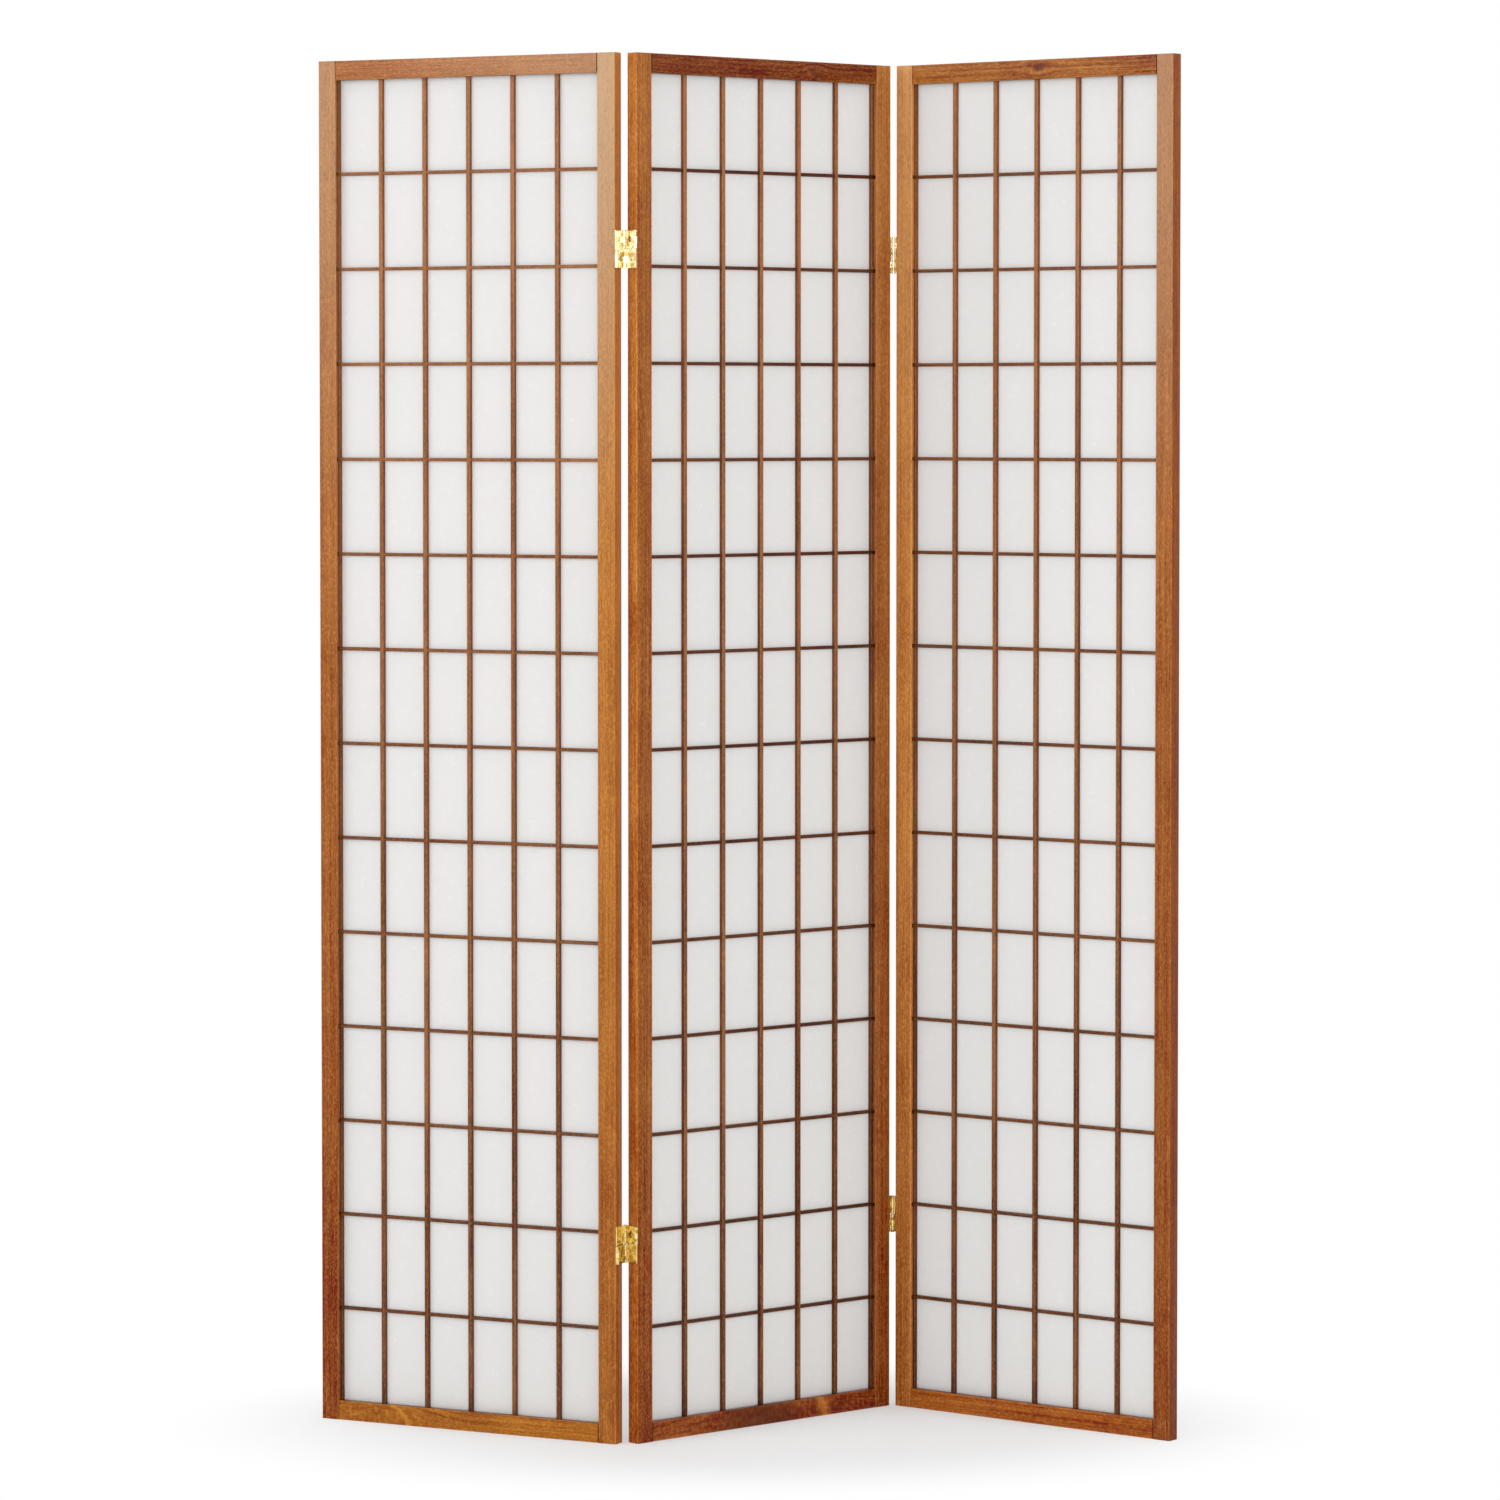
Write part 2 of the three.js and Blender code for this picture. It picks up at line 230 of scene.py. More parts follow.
def parts_of(tree, vector):
    """A vector's X, Y and Z."""
    return add_node(tree, "ShaderNodeSeparateXYZ", {0: vector}).outputs


def mix_colour(tree, factor, first, second, blend="MIX"):
    """The colour output of a Mix node, whose colours are its inputs 6 and 7."""
    return add_node(tree, "ShaderNodeMix", {0: factor, 6: first, 7: second},
                    data_type="RGBA", blend_type=blend).outputs[2]


# Place runs across the timber, through it and along its grain, in metres. A knot is
# given by where it lies across and along the timber, and by its radius.
softwood, given, made = new_group(
    "stained softwood",
    [("Place", "vector"), ("Seed", "value"), ("Pale Stain", "colour"),
     ("Deep Stain", "colour"), ("Paleness", "value"), ("Figure", "value"),
     ("Knot", "vector"), ("Knot Heart", "value"), ("Knot Halo", "value"),
     ("Worn Arris", "value"), ("Shoulder", "value"), ("Bleach", "value"),
     ("Edge Shade", "colour")],
    [("Color", "colour"), ("Roughness", "value"), ("Relief", "value")])
seeded = seeded_place(softwood, given["Place"], (3.17, 7.71, 1.93), given["Seed"])

# knot: the grain parts round it, its heart is dark and a pale line skirts one side
spot = parts_of(softwood, given["Place"])
knot = parts_of(softwood, given["Knot"])
knot_across = calc(softwood, "SUBTRACT", spot["X"], knot["X"])
knot_along = calc(softwood, "MULTIPLY", calc(softwood, "SUBTRACT", spot["Z"], knot["Y"]), 0.6)
from_knot = calc(softwood, "SQRT", calc(
    softwood, "ADD", calc(softwood, "MULTIPLY", knot_across, knot_across),
    calc(softwood, "MULTIPLY", knot_along, knot_along)))
radii = calc(softwood, "DIVIDE", from_knot, knot["Z"])
parting = calc(softwood, "MULTIPLY", ramp(softwood, radii, 4.5, 0.3), knot_across)
parted = add_node(softwood, "ShaderNodeCombineXYZ", {
    "X": calc(softwood, "MULTIPLY", parting, -0.85), "Y": 0.0, "Z": 0.0}).outputs[0]

# figure: broad bands, fine fibres, pores and speckle along a grain that drifts, with
# clouds of stain over them
drift = add_node(softwood, "ShaderNodeTexNoise", {
    "Vector": vector_calc(softwood, "MULTIPLY", seeded, (9, 9, 2.4)), "Scale": 1.0,
    "Detail": 2.0}).outputs["Color"]
drifted = vector_calc(softwood, "MULTIPLY_ADD", drift, (0.010, 0.010, 0.0), seeded)
grain_place = vector_calc(softwood, "ADD", drifted, parted)
bands = noise(softwood, grain_place, (330, 160, 3.0), detail=4.0, roughness=0.66)
fibres = noise(softwood, grain_place, (760, 700, 52), detail=3.0, roughness=0.68)
pores = noise(softwood, grain_place, (950, 950, 120), detail=1.0)
cloud = noise(softwood, seeded, (17, 17, 9), detail=3.0, roughness=0.62)
speckle = noise(softwood, grain_place, (560, 560, 230), detail=1.0)
band = about_zero(softwood, bands)
blotch = about_zero(softwood, cloud)
fibre = about_zero(softwood, fibres)

# paleness: 0 where the stain took deepest, 1 where it took least
skirt = calc(softwood, "ABSOLUTE", calc(softwood, "SUBTRACT", radii, 1.35))
halo = calc(softwood, "MULTIPLY", ramp(softwood, skirt, 0.16, 0.0),
            calc(softwood, "MULTIPLY", ramp(softwood, knot_along, 0.0, 0.003),
                 given["Knot Halo"]))
pale = given["Paleness"]
for mark, strength in (
        (band, calc(softwood, "MULTIPLY", given["Figure"], 1.7)),
        (blotch, given["Figure"]), (fibre, 1.0),
        (ramp(softwood, speckle, 0.44, 0.68, -0.10, 0.32), 1.0),
        (given["Worn Arris"], 0.30), (halo, 0.75)):
    pale = calc(softwood, "MULTIPLY_ADD", mark, strength, pale)
pale = calc(softwood, "MINIMUM", calc(softwood, "MAXIMUM", pale, -0.35), 1.15)

# colour: its stain, then painted sheen, flecks, knot heart and dark shoulder, and last the
# painted light and shade of edges, sides and pockets, with the cross bars' own darker tone
depth = add_node(softwood, "ShaderNodeMix", {
    0: pale, 4: given["Deep Stain"], 5: given["Pale Stain"]},
    data_type="VECTOR", clamp_factor=False).outputs[1]
colour = vector_calc(softwood, "MAXIMUM", depth, (0.010, 0.003, 0.001))
fleck = calc(softwood, "MULTIPLY", ramp(softwood, pores, 0.62, 0.74), 0.45)
heart = calc(softwood, "MULTIPLY", ramp(softwood, radii, 1.15, 0.35), given["Knot Heart"])
shoulder = calc(softwood, "MULTIPLY", given["Shoulder"], 0.85)
for share, over in ((given["Bleach"], (0.60, 0.46, 0.31, 1)), (fleck, (0.085, 0.022, 0.005, 1)),
                    (heart, (0.085, 0.013, 0.002, 1)), (shoulder, (0.045, 0.012, 0.003, 1))):
    colour = mix_colour(softwood, share, colour, over)
# The painted light and shade of edges, sides and pockets, and the cross bars' darker tone,
# multiply the colour.
shaded = vector_calc(softwood, "MULTIPLY", colour, given["Edge Shade"])
softwood.links.new(shaded, made["Color"])
rough = calc(softwood, "MULTIPLY_ADD", fibre, 0.18, 0.34)
rough = calc(softwood, "MULTIPLY_ADD", blotch, 0.14, rough)
softwood.links.new(rough, made["Roughness"])
relief = calc(softwood, "MULTIPLY_ADD", band, 0.5, fibre)
relief = calc(softwood, "SUBTRACT", relief, fleck)
softwood.links.new(relief, made["Relief"])

# how far a point lies out on both sides of a timber's section: 1 on its arris
arris_wear, given, made = new_group(
    "worn arris", [("Place", "vector"), ("Half Section", "vector")],
    [("Wear", "value")])
sides = vector_calc(arris_wear, "ABSOLUTE", given["Place"])
from_faces = parts_of(arris_wear, vector_calc(
    arris_wear, "SUBTRACT", given["Half Section"], sides))
farther = calc(arris_wear, "MAXIMUM", from_faces["X"], from_faces["Y"])
near_arris = ramp(arris_wear, farther, 2.2 * mm, 0.6 * mm)
rubbed = noise(arris_wear, given["Place"], (60, 60, 28), detail=3.0)
arris_wear.links.new(
    calc(arris_wear, "MULTIPLY", near_arris,
         ramp(arris_wear, rubbed, 0.30, 0.62, 0.25, 1.0)), made["Wear"])


def use_group(tree, group, **inputs):
    """A group's outputs. Its inputs' names have spaces for the underscores here."""
    named = {name.replace("_", " "): value for name, value in inputs.items()}
    return add_node(tree, "ShaderNodeGroup", named, node_tree=group).outputs


def finish_surface(tree, look, bump_strength, bump_height, inputs, **settings):
    """Ends a material with a shader that shows a look's colour, roughness and relief."""
    bump = add_node(tree, "ShaderNodeBump", {
        "Height": look["Relief"], "Strength": bump_strength, "Distance": bump_height})
    shader = add_node(tree, "ShaderNodeBsdfPrincipled", {
        "Base Color": look["Color"], "Roughness": look["Roughness"],
        "Normal": bump.outputs[0], **inputs}, **settings)
    add_node(tree, "ShaderNodeOutputMaterial", {"Surface": shader.outputs[0]})


def timber_place(tree, panel, middle, along):
    """Where a point lies in a timber: across it, through it and along its grain."""
    if along == "up":
        axes = (Vector((1, 0, 0)), Vector((0, 1, 0)), Vector((0, 0, 1)))
    else:
        axes = (Vector((0, 0, -1)), Vector((0, 1, 0)), Vector((1, 0, 0)))
    turn = panels[panel].to_3x3() @ Matrix(axes).transposed()
    return add_node(tree, "ShaderNodeMapping", {
        "Vector": add_node(tree, "ShaderNodeTexCoord").outputs["Object"],
        "Location": panels[panel] @ Vector(middle),
        "Rotation": turn.to_euler("XYZ")}, vector_type="TEXTURE").outputs[0]


def along_share(tree, place, length, at_start, at_end):
    """A value that changes evenly along a timber, from its foot or left end."""
    along = parts_of(tree, place)["Z"]
    return calc(tree, "MULTIPLY_ADD", along, (at_end - at_start) / length, at_start)


# A knot is (across, along, radius): this one lies outside every timber.
no_knot = (1.0, 0.0, 0.001)
plain_timber = dict(Knot=no_knot, Knot_Heart=0.0, Knot_Halo=0.0, Shoulder=0.0, Bleach=0.0,
                    Edge_Shade=white)


def finish_timber(tree, place, seed, pale, deep, paleness, half_section, satin, **marks):
    worn = use_group(tree, arris_wear, Place=place, Half_Section=half_section)
    wood = use_group(
        tree, softwood, Place=place, Seed=seed, Pale_Stain=(*pale, 1), Deep_Stain=(*deep, 1),
        Paleness=paleness, Worn_Arris=worn["Wear"], **{**plain_timber, **marks})
    finish_surface(tree, wood, 0.2, 0.4 * mm, {"Specular IOR Level": satin})


frame_pale = (0.53, 0.212, 0.048)
frame_deep = (0.245, 0.052, 0.004)
# Half of a timber's section. The third value leaves its ends out of the wear.
stile_half = (stile_width / 2, frame_depth / 2, 10)
rail_half = (rail_height / 2, frame_depth / 2, 10)


def dress_node(node_name, material):
    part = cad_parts[node_name]
    part.data.materials.clear()
    part.data.materials.append(material)


# What each timber shows: its paleness at the foot or left end and at the other, strength of
# figure, tint, a painted sheen on its front toward the far end, painted light and shade on its
# outer edge, and a knot with a dark heart and a pale halo.
# The edge values are painted light and shade: the middle panel's left edge, which faces the
# left lamp, is painted paler, and the right-facing outer edges of the left and right panels
# darker.
timbers = {
    "left_panel_left_stile": dict(pale=(0.00, 0.68), tint=(1.00, 0.97, 1.0), painted_sheen=0.28),
    "left_panel_right_stile": dict(pale=(0.40, 0.88), tint=(1.04, 1.03, 0.8), painted_sheen=0.55,
                                   edge=(0.95, 0.84, 0.74)),
    "left_panel_top_rail": dict(pale=(0.40, 0.66), tint=(0.98, 0.98, 1.4), painted_sheen=0.22),
    "left_panel_bottom_rail": dict(pale=(0.34, 0.46), figure=1.2, tint=(1.03, 1.00, 0.5),
                                   knot=(0.012, 0.082, 0.021), halo=0.9),
    "middle_panel_left_stile": dict(pale=(0.08, 0.42), edge=(1.48, 1.58, 1.5)),
    "middle_panel_right_stile": dict(pale=(-0.04, 0.76), figure=0.9, tint=(1.02, 1.02, 1.15)),
    "middle_panel_top_rail": dict(pale=(-0.10, 0.06), figure=1.1, tint=(0.79, 0.74, 0.85),
                                  knot=(0.003, 0.304, 0.0055), heart=0.6),
    "middle_panel_bottom_rail": dict(pale=(0.06, 0.04), figure=1.2, tint=(0.95, 0.80, 0.7),
                                     knot=(0.014, 0.210, 0.050), heart=0.7, halo=1.2),
    # Painted light: this stile's paleness and tint are raised, for the light that the fold
    # where it meets the middle panel keeps from it.
    "right_panel_left_stile": dict(pale=(0.30, 0.98), tint=(1.32, 1.40, 1.5), painted_sheen=0.18),
    "right_panel_right_stile": dict(pale=(0.04, 0.58), tint=(1.00, 0.96, 1.0), painted_sheen=0.28,
                                    edge=(0.68, 0.46, 0.12)),
    "right_panel_top_rail": dict(pale=(0.40, 0.34), figure=1.6, tint=(0.98, 0.95, 0.8),
                                 knot=(-0.002, 0.228, 0.0060), heart=0.75, halo=0.3),
    "right_panel_bottom_rail": dict(pale=(0.28, 0.32), figure=1.1, tint=(1.14, 0.96, 0.6)),
}

# Each timber's arrises are eased: their narrow facets are shaded as one round. An edge
# that turns further than this stays crisp.
crisp_turn = 36
smooth_arrises = bpy.data.node_groups.new("smooth eased arrises", "GeometryNodeTree")
for direction in ("INPUT", "OUTPUT"):
    smooth_arrises.interface.new_socket("Geometry", in_out=direction,
                                        socket_type="NodeSocketGeometry")
raw = smooth_arrises.nodes.new("NodeGroupInput").outputs[0]
bare = add_node(smooth_arrises, "GeometryNodeRemoveAttribute",
                {"Geometry": raw, "Name": "custom_normal"})
welded = add_node(smooth_arrises, "GeometryNodeMergeByDistance",
                  {"Geometry": bare.outputs[0], "Distance": 0.002 * mm})
crease = add_node(smooth_arrises, "GeometryNodeInputMeshEdgeAngle")
sharp = add_node(smooth_arrises, "FunctionNodeCompare", {
    0: crease.outputs["Unsigned Angle"], 1: math.radians(crisp_turn)},
    data_type="FLOAT", operation="GREATER_THAN")
not_sharp = add_node(smooth_arrises, "FunctionNodeBooleanMath",
                     {0: sharp.outputs[0]}, operation="NOT")
rounded = add_node(smooth_arrises, "GeometryNodeSetShadeSmooth", {
    "Geometry": welded.outputs[0], "Shade Smooth": True}, domain="FACE")
creased = add_node(smooth_arrises, "GeometryNodeSetShadeSmooth", {
    "Geometry": rounded.outputs[0], "Shade Smooth": not_sharp.outputs[0]}, domain="EDGE")
smoothed = smooth_arrises.nodes.new("NodeGroupOutput").inputs[0]
smooth_arrises.links.new(creased.outputs[0], smoothed)


def ease(node_name):
    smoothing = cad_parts[node_name].modifiers.new("eased arrises", "NODES")
    smoothing.node_group = smooth_arrises


cross_count = 13
cross_height = 4.5 * mm
pane_height = (panel_height - 2 * rail_height - cross_count * cross_height) / (cross_count + 1)
cross_pitch = pane_height + cross_height
first_cross = rail_height + pane_height + cross_height / 2
rabbet_width = 5 * mm
pocket_height = 5.2 * mm
pocket_depth = 4.2 * mm
hair = 0.1 * mm


def painted_edge_light_and_shade(tree, place, half, inwards, inner_painted_shade, outer_painted_light, inner_from):
    """Painted shade on a timber's inner edge, darker deeper in, and painted light and shade on
    its outer edge: inwards is the side where its panel's paper is.
    """
    spot = parts_of(tree, place)
    across = calc(tree, "MULTIPLY", spot["X"], inwards)
    shade_deeper_in = ramp(tree, spot["Y"], -8.5 * mm, -3 * mm, 0.1, 1.0)
    on_inner_edge = calc(tree, "MULTIPLY", shade_deeper_in,
                         ramp(tree, across, half - inner_from, half - hair))
    inner_edge = mix_colour(tree, on_inner_edge, white, (*inner_painted_shade, 1))
    outer_edge = mix_colour(tree, ramp(tree, across, 0.6 * mm - half, hair - half),
                            white, (*outer_painted_light, 1))
    return mix_colour(tree, 1.0, inner_edge, outer_edge, blend="MULTIPLY")


def painted_pocket_shadow(tree, place, half, inwards):
    """1 where painted shadow darkens the small pockets at the ends of the cross bars and the
    edge before them.
    """
    spot = parts_of(tree, place)
    across = calc(tree, "MULTIPLY", spot["X"], inwards)
    within = calc(tree, "GREATER_THAN", across, half - rabbet_width - hair)
    behind_face = calc(tree, "GREATER_THAN", spot["Y"], pocket_depth - frame_depth / 2)
    from_cross = calc(tree, "PINGPONG", calc(
        tree, "SUBTRACT", spot["Z"], first_cross), cross_pitch / 2)
    at_cross = calc(tree, "LESS_THAN", from_cross, pocket_height / 2 + hair)
    return calc(tree, "MULTIPLY", within, calc(tree, "MULTIPLY", behind_face, at_cross))


# Painted shade on the stiles' and rails' inner edges: the rails' near-black line is the shadow
# in the groove by the paper.
stile_inner_painted_shade = (0.55, 0.38, 0.28)
rail_inner_painted_shade = (0.07, 0.04, 0.03)
# Painted shadow in the pockets at the cross bars' ends.
pocket_painted_shadow = (0.10, 0.06, 0.05, 1)
shoulder_at = panel_width / 2 - stile_width
for seed, (timber, shows) in enumerate(timbers.items(), start=1):
    panel = timber.split("_")[0]
    stain, tree = new_material(timber.replace("_", " ") + " stain")
    if timber.endswith("stile"):
        left = "left_stile" in timber
        across = stile_width / 2 if left else panel_width - stile_width / 2
        place = timber_place(tree, panel, (across, frame_depth / 2, 0), "up")
        length, half, shoulder = panel_height, stile_half, 0.0
        sheen_from = 0.6
        inwards = 1 if left else -1
        # Painted shade on the stile's inner edge, darker deeper in, and painted light and shade
        # on its outer edge.
        shade = painted_edge_light_and_shade(tree, place, half[0], inwards, stile_inner_painted_shade,
                           shows.get("edge", (1, 1, 1)), 0.6 * mm)
        # Painted shadow in the pockets at the cross bars' ends and on the edge before them.
        shade = mix_colour(tree, painted_pocket_shadow(tree, place, half[0], inwards), shade, pocket_painted_shadow)
    else:
        rise = rail_height / 2 if "bottom" in timber else panel_height - rail_height / 2
        place = timber_place(tree, panel, (0, frame_depth / 2, rise), "across")
        length, half = panel_width, rail_half
        sheen_from = 0.0
        along = parts_of(tree, place)["Z"]
        from_middle = calc(tree, "ABSOLUTE", calc(tree, "SUBTRACT", along, panel_width / 2))
        shoulder = ramp(tree, from_middle, shoulder_at - 1.3 * mm, shoulder_at - 0.4 * mm)
        # Painted shade: the rail's inner edge is painted almost black, the shadow of the groove
        # by the paper.
        shade = painted_edge_light_and_shade(tree, place, half[0], -1 if "bottom" in timber else 1,
                           rail_inner_painted_shade, (1, 1, 1), 1.3 * mm)
    spot = parts_of(tree, place)
    # Painted sheen: the front face is painted paler and greyer toward the head of a stile and
    # toward the right end of a rail.
    painted_sheen = calc(tree, "MULTIPLY",
                  ramp(tree, spot["Z"], sheen_from * length, length, 0.0,
                       shows.get("painted_sheen", 0.0)),
                  ramp(tree, spot["Y"], 1.5 * mm - half[1], 0.3 * mm - half[1]))
    tint = shows.get("tint", (1, 1, 1))
    finish_timber(
        tree, place, seed * 1.37, [a * b for a, b in zip(frame_pale, tint)],
        [a * b for a, b in zip(frame_deep, tint)],
        along_share(tree, place, length, *shows["pale"]), half, 0.15,
        Figure=shows.get("figure", 0.8), Knot=shows.get("knot", no_knot),
        Knot_Heart=shows.get("heart", 0.0), Knot_Halo=shows.get("halo", 0.0),
        Shoulder=shoulder, Bleach=painted_sheen, Edge_Shade=shade)
    dress_node(timber, stain)
    ease(timber)

# ---------------------------------------------------------------------------
# Lattice bars
# Five uprights and thirteen cross bars to a panel, halved over each other and
# glued flush, with a strip at each edge. Same softwood, stained before gluing.
# ---------------------------------------------------------------------------
upright_width = 6 * mm
lattice_front = 8.6 * mm
lattice_back = 13.6 * mm
lattice_half = (lattice_front + lattice_back) / 2
lattice_foot = 21.2 * mm
lattice_head = panel_height - lattice_foot
strip_outer = 20.7 * mm
strip_inner = 26.4 * mm
joint_slack = 0.05 * mm
eased_arris = 0.8 * mm

upright_count = 5
pane_width = (panel_width - 2 * strip_inner - upright_count * upright_width) / (
    upright_count + 1)
upright_places = [strip_inner + (i + 1) * pane_width + (i + 0.5) * upright_width
                  for i in range(upright_count)]
cross_places = [first_cross + i * cross_pitch for i in range(cross_count)]


def halved_outline(start, end, plain, notched, notches, half_width, lap=0.0):
    """A bar's side view: one edge notched half-way at each crossing, and the other
    cut back half-way at both ends where the bar laps over its neighbours."""
    outline = [(start + lap, plain), (end - lap, plain)]
    if lap:
        outline += [(end - lap, lattice_half), (end, lattice_half)]
    outline.append((end, notched))
    for place in reversed(notches):
        outline += [(place + half_width, notched), (place + half_width, lattice_half),
                    (place - half_width, lattice_half), (place - half_width, notched)]
    outline.append((start, notched))
    if lap:
        outline += [(start, lattice_half), (start + lap, lattice_half)]
    return outline


def bar_body(outline, low, high, place_point, grain_of, dark=0.0):
    """A bar cut from its side view, with the arrises of its front eased."""
    bar = bmesh.new()
    near = [bar.verts.new(place_point(a, b, low)) for a, b in outline]
    far = [bar.verts.new(place_point(a, b, high)) for a, b in outline]
    bar.faces.new(near)
    bar.faces.new(list(reversed(far)))
    arrises = []
    for i in range(len(outline)):
        j = (i + 1) % len(outline)
        bar.faces.new((near[j], near[i], far[i], far[j]))
        if outline[i][1] == outline[j][1] == lattice_front:
            arrises += [bar.edges.get((near[i], near[j])), bar.edges.get((far[i], far[j]))]
    bmesh.ops.recalc_face_normals(bar, faces=bar.faces)
    bmesh.ops.bevel(bar, geom=arrises, offset=eased_arris, segments=3, profile=0.5,
                    affect="EDGES")
    layer = bar.verts.layers.float_vector.new("grain place")
    for vert in bar.verts:
        vert[layer] = grain_of(vert.co)
    side = bar.faces.layers.float.new("shaded bar side")
    shade = bar.faces.layers.float.new("bar dark")
    bar.normal_update()
    # Side faces are marked for the painted shade of the lattice material.
    for face in bar.faces:
        face[side] = 1.0 if abs(face.normal.y) < 0.3 else 0.0
        face[shade] = dark
    return bar


def join_bars(bars, name):
    """One mesh of a panel's bars, with what each point and face says of its bar."""
    mesh = bpy.data.meshes.new(name)
    whole = bmesh.new()
    layer = whole.verts.layers.float_vector.new("grain place")
    side = whole.faces.layers.float.new("shaded bar side")
    shade = whole.faces.layers.float.new("bar dark")
    for bar in bars:
        bar_layer = bar.verts.layers.float_vector["grain place"]
        shaded_bar_side = bar.faces.layers.float["shaded bar side"]
        bar_dark = bar.faces.layers.float["bar dark"]
        copies = {}
        for vert in bar.verts:
            copies[vert] = whole.verts.new(vert.co)
            copies[vert][layer] = vert[bar_layer]
        for face in bar.faces:
            copy = whole.faces.new([copies[vert] for vert in face.verts])
            copy[side], copy[shade] = face[shaded_bar_side], face[bar_dark]
        bar.free()
    whole.to_mesh(mesh)
    whole.free()
    return mesh


lattice_pale = (0.40, 0.165, 0.060)
lattice_deep = (0.15, 0.048, 0.012)
lattice_stain, tree = new_material("lattice stain")
bar_says = {name: add_node(tree, "ShaderNodeAttribute", attribute_name=name,
                           attribute_type="GEOMETRY").outputs
            for name in ("grain place", "shaded bar side", "bar dark")}
# Painted shade: the bars' sides are painted darker than their fronts.
painted_side_shade = mix_colour(tree, bar_says["shaded bar side"]["Fac"], white, (0.66, 0.46, 0.36, 1))
dark_shade = mix_colour(tree, bar_says["bar dark"]["Fac"], white, (0.22, 0.09, 0.035, 1))
spot = add_node(tree, "ShaderNodeTexCoord").outputs["Object"]
finish_timber(tree, bar_says["grain place"]["Vector"], 4.4, lattice_pale, lattice_deep,
              along_share(tree, spot, panel_height, 0.06, 0.80),
              (upright_width / 2, 5 * mm, 10), 0.18, Figure=1.1,
              Edge_Shade=mix_colour(tree, 1.0, painted_side_shade, dark_shade, blend="MULTIPLY"))

# How much darker than its uprights a panel's cross bars are, at the foot and at the head,
# and how far each bar departs from that.
cross_dark = {"left": (0.34, 0.14), "middle": (0.66, 0.90), "right": (0.34, 0.58)}
bar_to_bar = (0.0, 0.07, -0.05, 0.04, -0.08, 0.02, 0.09, -0.03, 0.05, -0.07, 0.03, -0.04, 0.06)


def lattice_of(panel):
    """All the bars of one panel, in the panel's own place."""
    bars = []

    def grain_up(middle, stock):
        return lambda spot: (spot.x - middle, spot.y - lattice_half, spot.z + stock * 3.1)

    def grain_across(middle, stock):
        return lambda spot: (middle - spot.z, spot.y - lattice_half, spot.x + stock * 2.3 + 50)

    upright_notch = cross_height / 2 + joint_slack
    outline = halved_outline(lattice_foot, lattice_head, lattice_front, lattice_back,
                             cross_places, upright_notch)
    for stock, middle in enumerate(upright_places):
        bars.append(bar_body(
            outline, middle - upright_width / 2, middle + upright_width / 2,
            lambda a, b, c: (c, b, a), grain_up(middle, stock)))
    outline = halved_outline(lattice_foot, lattice_head, lattice_back, lattice_front,
                             cross_places, upright_notch)
    strips = ((strip_outer, strip_inner),
              (panel_width - strip_inner, panel_width - strip_outer))
    for stock, (low, high) in enumerate(strips, start=upright_count):
        bars.append(bar_body(outline, low, high, lambda a, b, c: (c, b, a),
                             grain_up((low + high) / 2, stock)))
    outline = halved_outline(strip_outer, panel_width - strip_outer, lattice_back,
                             lattice_front, upright_places, upright_width / 2 + joint_slack,
                             lap=strip_inner - strip_outer + joint_slack)
    foot, head = cross_dark[panel]
    for stock, middle in enumerate(cross_places):
        dark = foot + (head - foot) * middle / panel_height + bar_to_bar[stock]
        bars.append(bar_body(
            outline, middle - cross_height / 2, middle + cross_height / 2,
            lambda a, b, c: (a, b, c), grain_across(middle, stock), dark))
    return bars


for panel in panels:
    mesh = join_bars(lattice_of(panel), f"{panel}_lattice_bars")
    mesh.transform(panels[panel])
    mesh.materials.append(lattice_stain)
    lattice = add_object(f"{panel}_lattice_bars", mesh)
    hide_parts(f"{panel}_panel_lattice")
    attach(lattice, f"{panel}_panel")

# ---------------------------------------------------------------------------
# Paper
# One sheet of white paper of long plant fibres to each panel, pasted to the
# back of the lattice and drawn tight.
# ---------------------------------------------------------------------------
fibre_paper, given, made = new_group(
    "long fibre paper", [("Place", "vector"), ("Seed", "value")],
    [("Color", "colour"), ("Relief", "value"), ("Roughness", "value")])
sheet_place = seeded_place(fibre_paper, given["Place"], (5.3, 0.0, 2.9), given["Seed"])


def strands(tree, place, stretch, thickness, warp):
    """Thin crooked strands, where the noise passes through its middle value."""
    lay = noise(tree, place, stretch, detail=1.5, distortion=warp)
    return ramp(tree, calc(tree, "ABSOLUTE", about_zero(tree, lay)),
                thickness, thickness * 0.3)


strand = calc(fibre_paper, "MAXIMUM",
              strands(fibre_paper, sheet_place, (95, 1, 38), 0.010, 0.9),
              strands(fibre_paper, sheet_place, (33, 1, 120), 0.010, 1.2))
strand_patches = noise(fibre_paper, sheet_place, (60, 1, 60), detail=2.0)
strand = calc(fibre_paper, "MULTIPLY", strand,
              ramp(fibre_paper, strand_patches, 0.46, 0.60))
clouds = noise(fibre_paper, sheet_place, (70, 1, 70), detail=3.0, roughness=0.6)
wide_clouds = noise(fibre_paper, sheet_place, (7, 1, 5), detail=2.0)
pulp = noise(fibre_paper, sheet_place, (900, 1, 900), detail=2.0)
shade = 0.5
for mark, strength in ((clouds, 0.30), (wide_clouds, 0.45), (pulp, 0.20)):
    shade = calc(fibre_paper, "MULTIPLY_ADD", about_zero(fibre_paper, mark), strength, shade)
sheet_colour = mix_colour(fibre_paper, shade, (0.80, 0.780, 0.745, 1), (0.86, 0.845, 0.82, 1))
sheet_colour = mix_colour(fibre_paper, calc(fibre_paper, "MULTIPLY", strand, 0.55),
                          sheet_colour, (0.93, 0.92, 0.90, 1))
fibre_paper.links.new(sheet_colour, made["Color"])
